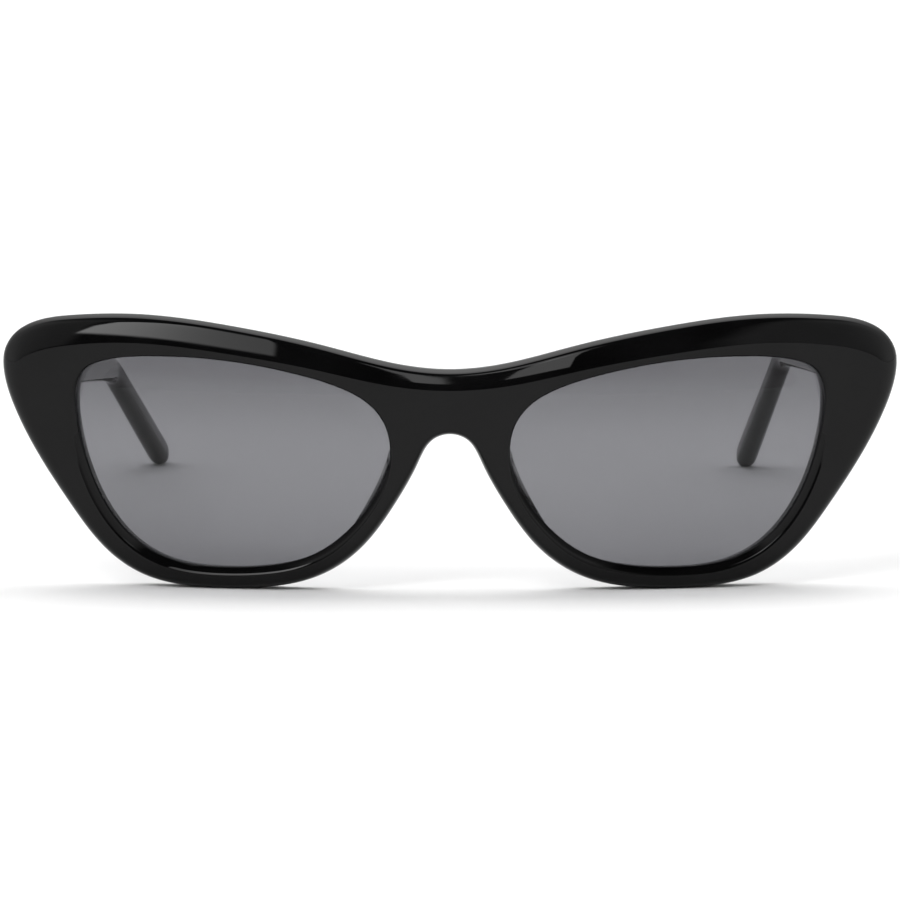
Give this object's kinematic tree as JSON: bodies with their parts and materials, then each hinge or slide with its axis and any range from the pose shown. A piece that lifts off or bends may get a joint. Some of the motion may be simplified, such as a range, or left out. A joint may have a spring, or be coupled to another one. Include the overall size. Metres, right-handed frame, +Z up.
{
  "type": "sunglasses",
  "caption": "Cat-eye sunglasses with a glossy black frame, grey tinted lenses and folding temples, for shading the eyes.",
  "frame": {"origin": "on the floor under the middle of the open sunglasses' box", "axes": "+X towards the wearer's left, +Y back from the front along the open temples, +Z up"},
  "size_m": [0.1458, 0.169, 0.0445],
  "materials": {
    "acetate": "polished black cellulose acetate",
    "pad_acetate": "polished black acetate",
    "lens": "grey tint, polished",
    "hinge_steel": "satin steel",
    "screw_steel": "bright steel",
    "core_steel": "drawn steel wire"
  },
  "bodies": {
    "front": {"frame_front": "acetate", "left_lens": "lens", "right_lens": "lens", "left_nose_pad": "pad_acetate", "right_nose_pad": "pad_acetate", "left_front_hinge": "hinge_steel", "right_front_hinge": "hinge_steel", "left_hinge_screw": "screw_steel", "right_hinge_screw": "screw_steel"},
    "left_temple": {"left_temple": "acetate", "left_temple_hinge": "hinge_steel", "left_core_wire": "core_steel"},
    "right_temple": {"right_temple": "acetate", "right_temple_hinge": "hinge_steel", "right_core_wire": "core_steel"}
  },
  "joints": [
    {"name": "left_temple_fold", "type": "hinge", "parent": "front", "child": "left_temple", "pos_m": [0.0648, -0.06425, 0.03562], "axis": [0, -0.0628, 0.998], "range_deg": [0, 86]},
    {"name": "right_temple_fold", "type": "hinge", "parent": "front", "child": "right_temple", "pos_m": [-0.0648, -0.06425, 0.03562], "axis": [0, 0.0628, -0.998], "range_deg": [0, 81]}
  ]
}
